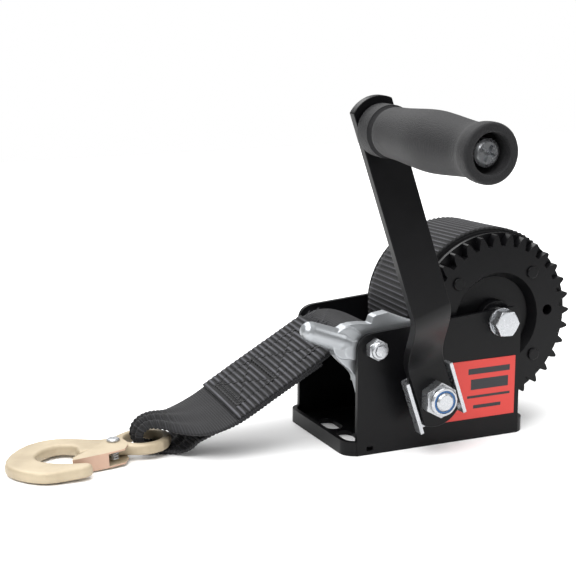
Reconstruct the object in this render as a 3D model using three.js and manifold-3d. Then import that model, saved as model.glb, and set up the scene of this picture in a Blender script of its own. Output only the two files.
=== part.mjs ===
// Hand-cranked boat trailer winch with a 50 mm webbing strap and a snap hook.
// Millimetres, +Z up. The origin is the centre of the base's underside, the strap
// pays out towards -X, and the crank is on the -Y side.

import * as THREE from "three";
import { mergeVertices } from "three/addons/utils/BufferGeometryUtils.js";
import Module from "manifold-3d";

const wasm = await Module();
wasm.setup();
const { Manifold, Mesh: ManifoldMesh } = wasm;

// ---- driving dimensions --------------------------------------------------------

const STEEL = 2.5; // frame sheet
const FRAME = { width: 74, plateX: 49, lipX: 55, lipZ: 7.6, frontZ: 64.4, rearZ: 71.2, cornerR: 8.5 };
const TOP_CORNER = { front: 9, rear: 7, slope: 0.07 }; // of a side plate
const BORE = { spool: 4.2, pawl: 3.2, bush: 8.2 }; // radii of the holes in the side plates
const SLOT = { x: 41, y: 11.5, wide: 9.5, long: 19 };
const PLATE_OUT = FRAME.width / 2; // outer face of either side plate
const PLATE_IN = PLATE_OUT - STEEL;

const SPOOL = { x: 36.2, z: 63.5 }; // drum axis
const CRANK = { x: -12.4, z: 32.03 }; // crank and pinion axis
const PAWL = { x: -39.3, z: 57 }; // pawl pivot
const GRIP = { x: -60.2, z: 174.5 }; // grip axis, 150 mm from the crank axis

const MODULE = 2.75;
const GEAR = { teeth: 32, y0: -32.7, y1: -27.7, addendum: 2.1, dedendum: 4, thicker: -0.7, phase: 1.6 };
const PINION = { teeth: 10, y0: -33.1, y1: -27.9, addendum: 2.5, dedendum: 3.1, thicker: 0.7, hubEnd: -22.7 };
const PRESSURE = THREE.MathUtils.degToRad(25);
const BACKLASH = 0.35; // taken off each tooth at the pitch circle

const STRAP = { y0: -22, y1: 28, outerNear: 48.6, outerFar: 45.8, inner: 17.2 };
const FLANGE = { near: -27.4, far: 29.6, thick: 2, nearR: 46.3, farR: 44.6 };

const ARM = { face: -53.4, thick: 4.5, wide: 21, jog: 25, jogLow: 25, jogHigh: 56, bend: 8, endR: 15.8 };
const LEAN = Math.atan2(CRANK.x - GRIP.x, GRIP.z - CRANK.z); // the arm leans forwards
const HOOK = { x: -147.5, y: 14.5, tipX: -222, thick: 6, pitch: 0.04 }; // centre of the eye, end of the bowl
const LATCH_SHEET = 0.9;
const LATCH_PIN = { x: -164.5, y: 12.2 };

const PAINT = { color: 0x1d1d1f, roughness: 0.42, metalness: 0.1 };
const ZINC = { color: 0xc9ccd0, roughness: 0.3, metalness: 0.95 };
const YELLOW_ZINC = { color: 0xd8c9a4, roughness: 0.35, metalness: 0.85 };
const WEBBING = { color: 0x2c2c30, roughness: 0.85, metalness: 0 };
const RUBBER = { color: 0x4a4a4d, roughness: 0.8, metalness: 0 };
const NYLON = { color: 0x2a4f78, roughness: 0.5, metalness: 0 };
const STEEL_BARE = { color: 0x8c8c8c, roughness: 0.45, metalness: 0.9 };
const LABEL = { color: 0xe0483f, roughness: 0.5, metalness: 0 };

// ---- geometry helpers ------------------------------------------------------------

/** Only positions, with shared corners merged. */
function bare(geometry) {
  const g = geometry.clone();
  g.deleteAttribute("normal");
  g.deleteAttribute("uv");
  return mergeVertices(g, 1e-4);
}

/** Six times the signed volume: negative when the faces point inwards. */
function signedVolume(g) {
  const p = g.attributes.position;
  const [a, b, c] = [0, 1, 2].map(() => new THREE.Vector3());
  let sum = 0;
  for (let i = 0; i < g.index.count; i += 3) {
    a.fromBufferAttribute(p, g.index.getX(i));
    b.fromBufferAttribute(p, g.index.getX(i + 1));
    c.fromBufferAttribute(p, g.index.getX(i + 2));
    sum += a.dot(b.cross(c));
  }
  return sum;
}

/** A closed geometry as a Manifold, with its faces turned outwards. */
function solid(geometry) {
  const g = bare(geometry);
  const tris = Array.from(g.index.array);
  if (signedVolume(g) < 0) {
    for (let i = 0; i < tris.length; i += 3) {
      [tris[i + 1], tris[i + 2]] = [tris[i + 2], tris[i + 1]];
    }
  }
  return new Manifold(new ManifoldMesh({
    numProp: 3,
    vertProperties: new Float32Array(g.attributes.position.array),
    triVerts: new Uint32Array(tris),
  }));
}

/** A Manifold as a geometry that three.js can show. */
function geometryOf(manifold) {
  const m = manifold.getMesh();
  const g = new THREE.BufferGeometry();
  g.setAttribute("position", new THREE.BufferAttribute(new Float32Array(m.vertProperties), 3));
  g.setIndex(Array.from(m.triVerts));
  g.computeVertexNormals();
  return g;
}

const union = (...parts) => parts.reduce((a, b) => a.add(b));
const cut = (body, ...tools) => tools.reduce((a, b) => a.subtract(b), body);

/** A shape drawn in x and z, pulled out along y. */
function slabY(shape, y0, y1, steps = 8) {
  const g = new THREE.ExtrudeGeometry(shape, { depth: y1 - y0, bevelEnabled: false, curveSegments: steps });
  return solid(g.rotateX(Math.PI / 2).translate(0, y1, 0));
}

/** A shape drawn in x and y, pulled up along z. */
function slabZ(shape, z0, z1, steps = 8) {
  const g = new THREE.ExtrudeGeometry(shape, { depth: z1 - z0, bevelEnabled: false, curveSegments: steps });
  return solid(g.translate(0, 0, z0));
}

/** A shape drawn in y and z, pulled out along x. */
function slabX(shape, x0, x1, steps = 8) {
  const g = new THREE.ExtrudeGeometry(shape, { depth: x1 - x0, bevelEnabled: false, curveSegments: steps });
  const [x, y, z] = [0, 1, 2].map((i) => new THREE.Vector3().setComponent(i, 1));
  return solid(g.applyMatrix4(new THREE.Matrix4().makeBasis(y, z, x)).translate(x0, 0, 0));
}

/** A round bar along y. */
function rodY({ x, z }, r, y0, y1, sides = 32) {
  const g = new THREE.CylinderGeometry(r, r, y1 - y0, sides);
  return solid(g.translate(x, (y0 + y1) / 2, z));
}

/** A ring or solid of revolution about a line along y, from [radius, y] points. */
function turnedY({ x, z }, profile, sides = 40) {
  const points = profile.map(([r, y]) => new THREE.Vector2(r, y));
  return solid(new THREE.LatheGeometry(points, sides).translate(x, 0, z));
}

/** The profile of a plain ring, closed on itself. */
function ringProfile(r0, r1, y0, y1) {
  return [[r0, y0], [r1, y0], [r1, y1], [r0, y1], [r0, y0]];
}

function ringY(at, r0, r1, y0, y1, sides = 28) {
  return turnedY(at, ringProfile(r0, r1, y0, y1), sides);
}

function box(x0, x1, y0, y1, z0, z1) {
  const g = new THREE.BoxGeometry(x1 - x0, y1 - y0, z1 - z0);
  return solid(g.translate((x0 + x1) / 2, (y0 + y1) / 2, (z0 + z1) / 2));
}

/** A closed outline from [x, y] points. */
function outline(points) {
  return new THREE.Shape(points.map(([x, y]) => new THREE.Vector2(x, y)));
}

/** A smooth closed outline through [x, y] points. */
function smoothOutline(points, count) {
  const curve = new THREE.CatmullRomCurve3(
    points.map(([x, y]) => new THREE.Vector3(x, y, 0)), true, "centripetal");
  return outline(curve.getPoints(count).slice(0, -1).map((p) => [p.x, p.y]));
}

/** A rectangle with rounded corners. */
function roundedRect(x0, x1, y0, y1, r) {
  const s = new THREE.Shape();
  s.moveTo(x0 + r, y0).lineTo(x1 - r, y0).absarc(x1 - r, y0 + r, r, -Math.PI / 2, 0);
  s.lineTo(x1, y1 - r).absarc(x1 - r, y1 - r, r, 0, Math.PI / 2);
  s.lineTo(x0 + r, y1).absarc(x0 + r, y1 - r, r, Math.PI / 2, Math.PI);
  s.lineTo(x0, y0 + r).absarc(x0 + r, y0 + r, r, Math.PI, 1.5 * Math.PI);
  return s;
}

/** A round tube of radius r through [x, y, z] points. */
function tube(points, r, steps, sides = 10) {
  const path = new THREE.CatmullRomCurve3(points.map((p) => new THREE.Vector3(...p)));
  const section = new THREE.Shape().absarc(0, 0, r, 0, 2 * Math.PI);
  const options = { steps, bevelEnabled: false, extrudePath: path, curveSegments: sides / 2 };
  return solid(new THREE.ExtrudeGeometry(section, options));
}

/** A hexagonal prism along y with its outer corners chamfered on the face at y0. */
function hexY(at, acrossFlats, y0, y1, turn = 0) {
  const corner = acrossFlats / Math.sqrt(3);
  const prism = new THREE.CylinderGeometry(corner, corner, y1 - y0, 6).rotateY(turn);
  const body = solid(prism.translate(at.x, (y0 + y1) / 2, at.z));
  const face = 0.48 * acrossFlats;
  const slope = (corner - face) * 0.58;
  const cone = [[0, y0], [face, y0], [corner + 0.1, y0 + slope], [corner + 0.1, y1], [0, y1]];
  return body.intersect(turnedY(at, cone, 36));
}

/** The same piece seen in a mirror across the plane y = 0. */
function mirroredY(manifold) {
  return solid(geometryOf(manifold).scale(1, -1, 1));
}

// ---- assembly --------------------------------------------------------------------

const winch = new THREE.Group();
winch.name = "boat_trailer_winch";

function add(name, manifold, finish) {
  const mesh = new THREE.Mesh(geometryOf(manifold), new THREE.MeshStandardMaterial(finish));
  mesh.name = name;
  winch.add(mesh);
}

// ---- frame -----------------------------------------------------------------------

/** One side plate: upright front edge, sloping top, rounded top corners. */
function sidePlate() {
  const { plateX: x, frontZ, rearZ } = FRAME;
  const { front, rear, slope } = TOP_CORNER;
  const s = new THREE.Shape();
  s.moveTo(-x, 0).lineTo(x, 0).lineTo(x, rearZ - rear);
  s.quadraticCurveTo(x, rearZ, x - rear, rearZ - slope * rear);
  s.lineTo(-x + front, frontZ + slope * front);
  s.quadraticCurveTo(-x, frontZ, -x, frontZ - front);
  return s;
}

/** Pressed channel: a tray with low lips at both ends and two tall side plates. */
function frame() {
  const { lipX, lipZ, cornerR: r } = FRAME;
  const tray = slabZ(roundedRect(-lipX, lipX, -PLATE_OUT, PLATE_OUT, r), 0, lipZ, 6);
  const hollow = roundedRect(-lipX + STEEL, lipX - STEEL, -PLATE_IN, PLATE_IN, r - STEEL);
  const near = slabY(sidePlate(), -PLATE_OUT, -PLATE_IN);
  const far = slabY(sidePlate(), PLATE_IN, PLATE_OUT);
  const reach = PLATE_OUT + 1;
  const relief = box(-43.4, -39.6, -reach, -PLATE_IN + 0.2, STEEL - 0.4, STEEL + 2);
  const cutters = [
    rodY(SPOOL, BORE.spool, -reach, reach),
    rodY(PAWL, BORE.pawl, -reach, reach),
    rodY(CRANK, BORE.bush, -reach, reach),
    relief,
  ];
  for (const sx of [-1, 1]) {
    for (const sy of [-1, 1]) {
      cutters.push(slot(sx * SLOT.x, sy * SLOT.y));
    }
  }
  const shell = union(cut(tray, slabZ(hollow, STEEL, lipZ + 1, 6)), near, far);
  return cut(shell, ...cutters);
}

/** A mounting slot through the base, longer across the winch. */
function slot(x, y) {
  const { wide, long } = SLOT;
  const r = wide / 2;
  const shape = roundedRect(x - r, x + r, y - long / 2, y + long / 2, r - 0.01);
  return slabZ(shape, -1, STEEL + 1, 4);
}

add("frame", frame(), PAINT);
add("label", box(3, 46.1, -PLATE_OUT - 0.35, -PLATE_OUT - 0.05, 11.6, 43.9), LABEL);

// ---- drum axle -------------------------------------------------------------------

add("spool_bolt", union(
  hexY(SPOOL, 13, -44.4, -38.6, 0.57),
  rodY(SPOOL, 4, -38.8, 46.2, 28)), ZINC);
add("spool_washer_near", ringY(SPOOL, BORE.spool, 7.6, -38.5, -PLATE_OUT - 0.05), ZINC);
add("spool_washer_far", ringY(SPOOL, BORE.spool, 7.6, PLATE_OUT + 0.05, 38.5), ZINC);
add("spool_nut", mirroredY(lockNut(SPOOL, 13, 4.1, -38.6, -45.4)), ZINC);
add("spool_spacer", ringY(SPOOL, 4.25, 7, -PLATE_IN + 0.1, PLATE_IN - 0.1), STEEL_BARE);

/** A lock nut on the -Y side: hexagon at the seat, round collar at the end. */
function lockNut(at, acrossFlats, bore, seat, end) {
  const shoulder = end - 0.3 * (end - seat);
  const hex = hexY(at, acrossFlats, shoulder, seat);
  const collar = [
    [0, end], [0.42 * acrossFlats, end], [0.46 * acrossFlats, end + 0.7],
    [0.46 * acrossFlats, shoulder + 0.3], [0, shoulder + 0.3],
  ];
  const nut = union(hex, turnedY(at, collar, 36));
  return cut(nut, rodY(at, bore, end - 1, seat + 1));
}

// ---- drum ------------------------------------------------------------------------

/** Half the angle that a tooth covers at radius r, for an involute flank. */
function toothHalfAngle(r, { teeth, thicker }) {
  const pitch = (MODULE * teeth) / 2;
  const base = pitch * Math.cos(PRESSURE);
  const inv = (a) => Math.tan(a) - a;
  const at = Math.acos(Math.min(1, base / Math.max(r, base)));
  const atPitch = Math.PI / (2 * teeth) + (thicker - BACKLASH) / (2 * pitch);
  return atPitch + inv(PRESSURE) - inv(at);
}

/** The outline of a spur gear in x and z, with one tooth centred on the phase angle. */
function gearShape(gear, at, phase) {
  const { teeth, addendum, dedendum } = gear;
  const pitch = (MODULE * teeth) / 2;
  const [root, tip] = [pitch - dedendum, pitch + addendum];
  const radii = [root, root + 0.25 * (tip - root), pitch, pitch + 0.5 * addendum, tip];
  const points = [];
  const put = (r, a) => points.push([at.x + r * Math.cos(a), at.z + r * Math.sin(a)]);
  for (let i = 0; i < teeth; i++) {
    const middle = phase + (2 * Math.PI * i) / teeth;
    radii.forEach((r) => put(r, middle - toothHalfAngle(r, gear)));
    [...radii].reverse().forEach((r) => put(r, middle + toothHalfAngle(r, gear)));
  }
  return outline(points);
}

const RIVETS = [48, 138, -132, -42].map((a) => THREE.MathUtils.degToRad(a));
const RIVET_R = 32.3;
const onDrum = (angle, r) => ({ x: SPOOL.x + r * Math.cos(angle), z: SPOOL.z + r * Math.sin(angle) });
const SIGHT_HOLE = onDrum(THREE.MathUtils.degToRad(4.2), RIVET_R);
const STRAP_PIN = onDrum(THREE.MathUtils.degToRad(200), 13.6);

/** Ring gear with a tapered opening in the middle. */
function drumGear() {
  const phase = THREE.MathUtils.degToRad(GEAR.phase);
  const disc = slabY(gearShape(GEAR, SPOOL, phase), GEAR.y0, GEAR.y1);
  const mouth = [
    [0, GEAR.y0 - 1], [26.4, GEAR.y0 - 1], [22.6, GEAR.y1 + 0.01], [22.6, GEAR.y1 + 1], [0, GEAR.y1 + 1],
  ];
  const holes = RIVETS.map((a) => rodY(onDrum(a, RIVET_R), 2.7, -40, -20, 20));
  return cut(disc, turnedY(SPOOL, mouth, 48), rodY(SIGHT_HOLE, 2.9, -40, -20, 20), ...holes);
}

function drumFlange(y0, r) {
  const disc = ringY(SPOOL, 10.4, r, y0, y0 + FLANGE.thick, 56);
  return cut(disc, rodY(STRAP_PIN, 3.2, y0 - 1, y0 + 3, 20));
}

/** Near flange, drilled for the rivets and for the hole that runs on from the gear. */
function nearFlange() {
  const holes = RIVETS.map((a) => rodY(onDrum(a, RIVET_R), 2.7, -30, -20, 20));
  return cut(drumFlange(FLANGE.near, FLANGE.nearR), rodY(SIGHT_HOLE, 2.9, -30, -20, 20), ...holes);
}

/** A rivet with a flat head in front of the gear and a low one behind the flange. */
function rivet(at) {
  const profile = [
    [0, -34], [2.9, -34], [3.35, -33.6], [3.35, -32.8], [2.5, -32.8],
    [2.5, -25.3], [3.3, -25.3], [3.3, -24.2], [0, -24.2],
  ];
  return turnedY(at, profile, 20);
}

/** The wound strap, piled a little higher next to the gear. */
function strapRoll() {
  const { y0, y1, outerNear, outerFar, inner } = STRAP;
  return turnedY(SPOOL, [[inner, y0], [outerNear, y0], [outerFar, y1], [inner, y1], [inner, y0]], 72);
}

add("drum_gear", drumGear(), PAINT);
add("drum_flange_near", nearFlange(), PAINT);
add("drum_flange_far", drumFlange(FLANGE.far, FLANGE.farR), PAINT);
add("drum_barrel", ringY(SPOOL, 7.4, 10.1, -32.2, 32.4), PAINT);
add("strap_pin", rodY(STRAP_PIN, 3, -28, 32.2, 20), STEEL_BARE);
add("strap_roll", strapRoll(), WEBBING);
RIVETS.forEach((a, i) => add(`drum_rivet_${i + 1}`, rivet(onDrum(a, RIVET_R)), PAINT));

// ---- crank shaft and pinion --------------------------------------------------------

const BUSH = { bore: 6.2, outer: 8, flange: 10 };

/** A flanged plain bush pressed into one plate from the inside. */
function bush(side) {
  const [face, inner, end] = [PLATE_OUT, PLATE_IN - 0.1, PLATE_IN - 1.2];
  const profile = [
    [BUSH.bore, end], [BUSH.flange, end], [BUSH.flange, inner], [BUSH.outer, inner],
    [BUSH.outer, face], [BUSH.bore, face], [BUSH.bore, end],
  ].map(([r, y]) => [r, side * y]);
  return turnedY(CRANK, profile, 32);
}

/** Stepped shaft: journals in both bushes, a threaded end outside for the arm. */
function crankShaft() {
  const steps = [
    [0, -64.2], [3.9, -64.2], [4.9, -63.2], [4.9, -46.9], [6, -46.9], [6, 41.5], [0, 41.5],
  ];
  const groove = ringProfile(5.2, 7, 38.6, 39.8);
  return cut(turnedY(CRANK, steps, 28), turnedY(CRANK, groove, 28));
}

/** Pinion turned so that a tooth gap faces a tooth of the drum gear. */
function pinion() {
  const toGear = Math.atan2(SPOOL.z - CRANK.z, SPOOL.x - CRANK.x);
  const step = (2 * Math.PI) / GEAR.teeth;
  const gearPhase = THREE.MathUtils.degToRad(GEAR.phase);
  const facing = toGear + Math.PI - gearPhase;
  const offset = facing - Math.round(facing / step) * step; // from a gear tooth to the centre line
  const phase = toGear + Math.PI / PINION.teeth + (offset * GEAR.teeth) / PINION.teeth;
  const blank = slabY(gearShape(PINION, CRANK, phase), PINION.y0, PINION.y1);
  const hub = rodY(CRANK, 9, PINION.y1 - 0.1, PINION.hubEnd, 32);
  return cut(union(blank, hub), rodY(CRANK, 6.1, -40, 0));
}

/** Snap ring with a gap, in the groove at the shaft's far end. */
function circlip() {
  const ring = ringY(CRANK, 5.4, 8, 38.8, 39.6, 32);
  return cut(ring, box(CRANK.x - 2.5, CRANK.x + 2.5, 38, 41, CRANK.z - 12, CRANK.z));
}

add("bush_near", bush(-1), STEEL_BARE);
add("bush_far", bush(1), STEEL_BARE);
add("crank_shaft", crankShaft(), ZINC);
add("pinion", pinion(), STEEL_BARE);
add("shaft_circlip", circlip(), STEEL_BARE);
add("shaft_collar", ringY(CRANK, 6.2, 9.8, -46.7, -PLATE_OUT - 0.4), PAINT);

// ---- crank arm ---------------------------------------------------------------------

/** Turns a piece made upright above the crank axis to the arm's lean. */
function leaning(manifold) {
  const g = geometryOf(manifold).rotateY(-LEAN).translate(CRANK.x, 0, CRANK.z);
  return solid(g);
}

/** The bar seen edge-on (y and height above the axis), with its outward jog in two soft bends. */
function armEdge() {
  const { face, thick, jog, jogLow, jogHigh, bend } = ARM;
  const top = 180;
  const s = new THREE.Shape();
  s.moveTo(face, -20).lineTo(face, jogLow - bend);
  s.bezierCurveTo(face, jogLow + 0.4 * bend, face - jog, jogHigh - 1.4 * bend, face - jog, jogHigh);
  s.lineTo(face - jog, top).lineTo(face - jog + thick, top).lineTo(face - jog + thick, jogHigh + 1);
  s.bezierCurveTo(face - jog + thick, jogHigh - 1.4 * bend + 2, face + thick, jogLow + 0.4 * bend + 2,
    face + thick, jogLow - bend + 2);
  s.lineTo(face + thick, -20);
  return s;
}

/** The bar seen face-on: straight sides and ends that are arcs about each bolt. */
function armFace(length) {
  const { wide, endR } = ARM;
  const half = wide / 2;
  const lift = Math.asin(half / endR);
  const s = new THREE.Shape();
  s.absarc(0, length, endR, Math.PI / 2 - lift, Math.PI / 2 + lift);
  s.absarc(0, 0, endR, 1.5 * Math.PI - lift, 1.5 * Math.PI + lift);
  return s;
}

function crankArm() {
  const length = Math.hypot(GRIP.x - CRANK.x, GRIP.z - CRANK.z);
  const band = slabX(armEdge(), -20, 20, 16);
  const bar = slabY(armFace(length), -100, -40, 10).intersect(band);
  const bores = union(rodY({ x: 0, z: 0 }, 5.1, -60, -40), rodY({ x: 0, z: length }, 4.2, -90, -60));
  return leaning(cut(bar, bores));
}

/** Zinc clip that holds the arm to the shaft: a web with two ears turned outwards. */
function armClip() {
  const [outer, sheet, back, edge] = [14.2, 2, -46.9, -54.6];
  const s = new THREE.Shape();
  s.moveTo(-outer, edge).lineTo(-outer, back - 3);
  s.quadraticCurveTo(-outer, back, -outer + 3, back).lineTo(outer - 3, back);
  s.quadraticCurveTo(outer, back, outer, back - 3).lineTo(outer, edge);
  s.lineTo(outer - sheet, edge).lineTo(outer - sheet, back - 3);
  s.quadraticCurveTo(outer - sheet, back - sheet + 0.6, outer - 3.4, back - 1.4);
  s.lineTo(-outer + 3.4, back - 1.4);
  s.quadraticCurveTo(-outer + sheet, back - sheet + 0.6, -outer + sheet, back - 3);
  s.lineTo(-outer + sheet, edge);
  const channel = slabZ(s, -15, 14);
  return leaning(cut(channel, rodY({ x: 0, z: 0 }, 5.1, -60, -40)));
}

/** Nylon ring inside the collar of the crank nut. */
function nutInsert() {
  return ringY(CRANK, 5, 6, -62.9, -60.6, 32);
}

/** The crank nut, with a seat inside its collar for the nylon ring. */
function crankNut() {
  const nut = lockNut(CRANK, 16.4, 5, -53.5, -63.2);
  return cut(nut, rodY(CRANK, 6.1, -64, -60.5));
}

add("arm_clip", armClip(), ZINC);
add("crank_arm", crankArm(), PAINT);
add("crank_nut", crankNut(), ZINC);
add("crank_nut_insert", nutInsert(), NYLON);

// ---- grip --------------------------------------------------------------------------

const GRIP_IN = ARM.face - ARM.jog - 0.8;
const GRIP_OUT = -175.4;

/** Rubber grip: collar and groove at the arm, swelling body, flared open end. */
function grip() {
  const profile = [
    [6.3, GRIP_IN], [11.8, GRIP_IN], [12.4, GRIP_IN - 1], [12.4, GRIP_IN - 9.4],
    [11, GRIP_IN - 10.8], [11, GRIP_IN - 12], [11.7, GRIP_IN - 14.4], [12.2, GRIP_IN - 24], [13.5, GRIP_IN - 44],
    [13.7, GRIP_IN - 52], [13, GRIP_IN - 64], [11.8, GRIP_IN - 80], [11.9, GRIP_IN - 84],
    [12.8, GRIP_IN - 89], [12.9, GRIP_OUT + 2], [12, GRIP_OUT], [9.6, GRIP_OUT], [8.8, GRIP_OUT + 0.8],
    [8.8, GRIP_OUT + 10], [6.3, GRIP_OUT + 10], [6.3, GRIP_IN],
  ];
  return turnedY(GRIP, profile, 36);
}

/** Grip bolt: low round head with a cross recess inside the open end, shank through grip and arm. */
function gripBolt() {
  const head = GRIP_OUT + 3.2;
  const profile = [
    [0, head], [4.6, head + 0.2], [6, head + 1.4], [6, head + 5.6], [4, head + 5.6],
    [4, -69.4], [0, -69.4],
  ];
  const [half, reach, deep] = [0.9, 3.6, 2.4]; // one wing of the recess
  const wing = box(-reach, reach, head - 1, head + deep, -half, half);
  const turned = (angle) => solid(geometryOf(wing).rotateY(angle).translate(GRIP.x, 0, GRIP.z));
  return cut(turnedY(GRIP, profile, 28), turned(0.5), turned(0.5 + Math.PI / 2));
}

add("grip", grip(), RUBBER);
add("grip_sleeve", ringY(GRIP, 4.3, 6, GRIP_OUT + 9.2, GRIP_IN + 0.3, 32), STEEL_BARE);
add("grip_bolt", gripBolt(), ZINC);
add("grip_nut", hexY(GRIP, 13, -73.7, -70.2).subtract(rodY(GRIP, 4.15, -80, -60)), ZINC);

// ---- pawl --------------------------------------------------------------------------

/** The cast rocker seen from the crank side: claw at the top right, tail at the bottom. */
function pawlOutline() {
  return outline([
    [-11.4, 64.5], [-12.4, 67.2], [-18.3, 69.4], [-23.8, 71.6], [-29.7, 74.2], [-36.2, 73.3],
    [-38.2, 72.4], [-39.4, 69], [-43.9, 69.6], [-49.7, 69.8], [-54, 69.2], [-58.6, 66.6], [-61.2, 62.6],
    [-61.2, 57.8], [-59.6, 53.8], [-55.6, 49.4], [-51.6, 46], [-48.5, 42.2], [-46.4, 36.5],
    [-44.9, 31], [-42.8, 28.8], [-40.4, 29.2], [-39, 31.6], [-38.9, 38], [-36.6, 44], [-31, 48.6],
    [-24, 50.6], [-19.2, 51.6], [-18.6, 53.8], [-21, 55.6], [-26.4, 57.2], [-26.2, 60], [-20, 63.6],
  ]);
}

/** Round handle, tapering slightly to a domed end. */
function pawlHandle() {
  const profile = [
    [0, -4], [4.9, -4], [6, 2], [5.8, 8], [5.5, 15], [5.3, 20], [4.6, 22.6], [2.8, 24.4], [0, 25],
  ];
  const points = profile.map(([r, y]) => new THREE.Vector2(r, y));
  const g = new THREE.LatheGeometry(points, 24);
  return solid(g.applyMatrix4(handlePlace()));
}

function handlePlace() {
  const along = new THREE.Vector3(-0.932, 0, 0.362);
  const turn = new THREE.Quaternion().setFromUnitVectors(new THREE.Vector3(0, 1, 0), along);
  return new THREE.Matrix4().compose(new THREE.Vector3(-54, -29.3, 60.4), turn, new THREE.Vector3(1, 1, 1));
}

function pawl() {
  const [y0, y1] = [-32.5, -26.1];
  const core = slabY(pawlOutline(), y0, y1);
  const face = rodY({ x: -53.2, z: 60.2 }, 8.4, -33.8, y0 + 0.1, 36);
  const boss = rodY({ x: -49.4, z: 56.2 }, 5, -34.3, y0 + 0.1, 28);
  const hub = rodY(PAWL, 5.8, y1 - 0.1, -22.9, 28);
  return cut(union(core, pawlHandle(), face, boss, hub), rodY(PAWL, 3.3, -40, -10, 24));
}

/** Torsion spring round the pawl's hub: one leg along the tail, one down to the tray. */
function pawlSpring() {
  const [turns, per, r, pitch] = [1.5, 10, 6.9, 1.4];
  const start = -25.3;
  const points = [[-46.6, start, 38], [-46.2, start, 48]];
  for (let i = 0; i <= turns * per; i++) {
    const a = Math.PI - (2 * Math.PI * i) / per;
    points.push([PAWL.x + r * Math.cos(a), start + (pitch * i) / per, PAWL.z + r * Math.sin(a)]);
  }
  const end = start + pitch * turns;
  points.push([-32.4, end, 48], [-32.8, end, 20], [-33, end, STEEL + 0.9]);
  return tube(points, 0.6, 56, 6);
}

add("pawl", pawl(), ZINC);
add("pawl_bolt", union(
  rodY(PAWL, 2.95, -44.4, 37.4, 24),
  mirroredY(hexY(PAWL, 10, -41.4, -37.3))), ZINC);
add("pawl_nut", lockNut(PAWL, 10, 3.05, -37.2, -43.7), ZINC);
add("pawl_spacer", ringY(PAWL, 3.3, 4.7, -22.6, PLATE_IN - 0.3, 28), STEEL_BARE);
add("pawl_spring", pawlSpring(), STEEL_BARE);

// ---- strap tail --------------------------------------------------------------------

/** Stations of the strap: [x, z, middle y, width, thickness, drop of the near edge]. */
const TAIL = [
  [-8.7, 41.9, 3, 50, 1.4, 0], [-11.2, 47.6, 3, 50, 1.4, 0], [-13.2, 51.9, 3, 50, 1.4, 0],
  [-16.4, 55.2, 3, 50, 1.4, 0], [-21, 57.6, 3, 50, 1.4, 0], [-27, 60.6, 3, 50, 1.4, 0],
  [-33.5, 62.6, 3, 50, 1.4, 0], [-42.4, 62.8, 3, 50, 1.4, 0], [-46.6, 61.8, 3, 50, 1.8, 0.6],
  [-51.9, 60.1, 3, 50, 3, 2], [-59, 56.2, 3, 50, 3, 3.8], [-69.5, 50.3, 3, 50, 3, 4.4],
  [-87.3, 40.3, 3.5, 50, 3, 4.4], [-104.8, 30.1, 4, 50, 3, 4.4], [-116, 23.6, 5, 48, 3, 4],
  [-126, 20.4, 7.6, 44, 2, 3], [-135, 19, 11, 32, 2.4, 2], [-143, 18.4, 13.6, 19, 3.4, 1],
  [-148.4, 16.4, 14.5, 13, 4.4, 0], [-151.2, 12.2, 14.5, 12.5, 4.4, 0], [-150.2, 7.6, 14.5, 12.5, 4.2, 0],
  [-146.6, 3.8, 14.5, 12.5, 3.4, 0], [-141.5, 1.9, 14.5, 12.8, 2.4, 0], [-136, 1.7, 13.6, 18, 2.2, 0],
  [-131, 2.3, 12, 25, 2, 0], [-127.6, 6, 10.4, 31, 1.8, 0.6], [-125.6, 11, 9, 36, 1.6, 1.4],
  [-122.6, 15.6, 7.4, 41, 1.5, 2.4], [-115.4, 22.6, 5, 47, 1.5, 4],
];

/** One ring of the tail's cross-section at a station, square to the path. */
function tailSection(index) {
  const [x, z, middle, width, thick, drop] = TAIL[index];
  const before = TAIL[Math.max(index - 1, 0)];
  const after = TAIL[Math.min(index + 1, TAIL.length - 1)];
  const along = new THREE.Vector2(after[0] - before[0], after[1] - before[1]).normalize();
  const [nx, nz] = [-along.y * thick / 2, along.x * thick / 2];
  const [near, far] = [middle - width / 2, middle + width / 2];
  return [
    [x + nx, near, z + nz - drop], [x + nx, far, z + nz],
    [x - nx, far, z - nz], [x - nx, near, z - nz - drop],
  ];
}

function sweep(sections) {
  const points = sections.flat(2);
  const n = sections[0].length;
  const faces = [];
  for (let i = 0; i < sections.length - 1; i++) {
    for (let k = 0; k < n; k++) {
      const [a, b] = [i * n + k, i * n + ((k + 1) % n)];
      faces.push(a, b, a + n, b, b + n, a + n);
    }
  }
  const last = (sections.length - 1) * n;
  for (let k = 1; k < n - 1; k++) {
    faces.push(0, k + 1, k, last, last + k, last + k + 1);
  }
  const g = new THREE.BufferGeometry();
  g.setAttribute("position", new THREE.Float32BufferAttribute(points, 3));
  g.setIndex(faces);
  return solid(g);
}

/** The tail up to its lowest fold, joined to the layer that returns under the hook's eye. */
function strapTail() {
  const sections = TAIL.map((_, i) => tailSection(i));
  const middle = 19; // station inside the fold, where the strap is upright
  return union(sweep(sections.slice(0, middle + 1)), sweep(sections.slice(middle)));
}

add("strap_tail", strapTail(), WEBBING);

// ---- hook --------------------------------------------------------------------------

/** Puts a piece made flat, from z = 0 up, on the floor, its eye lifted by the strap under it. */
function onFloor(manifold, lift = 0.3) {
  const g = geometryOf(manifold).translate(-HOOK.tipX, 0, 0).rotateY(-Math.atan(HOOK.pitch));
  return solid(g.translate(HOOK.tipX, 0, lift));
}

/** A flat shape with rounded edges, z0 to z1. */
function forged(shape, z0, z1, round, steps = 6) {
  const g = new THREE.ExtrudeGeometry(shape, {
    depth: z1 - z0 - 2 * round, bevelThickness: round, bevelSize: round, bevelOffset: -round,
    bevelSegments: 2, curveSegments: steps,
  });
  return solid(g.translate(0, 0, z0 + round));
}

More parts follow.
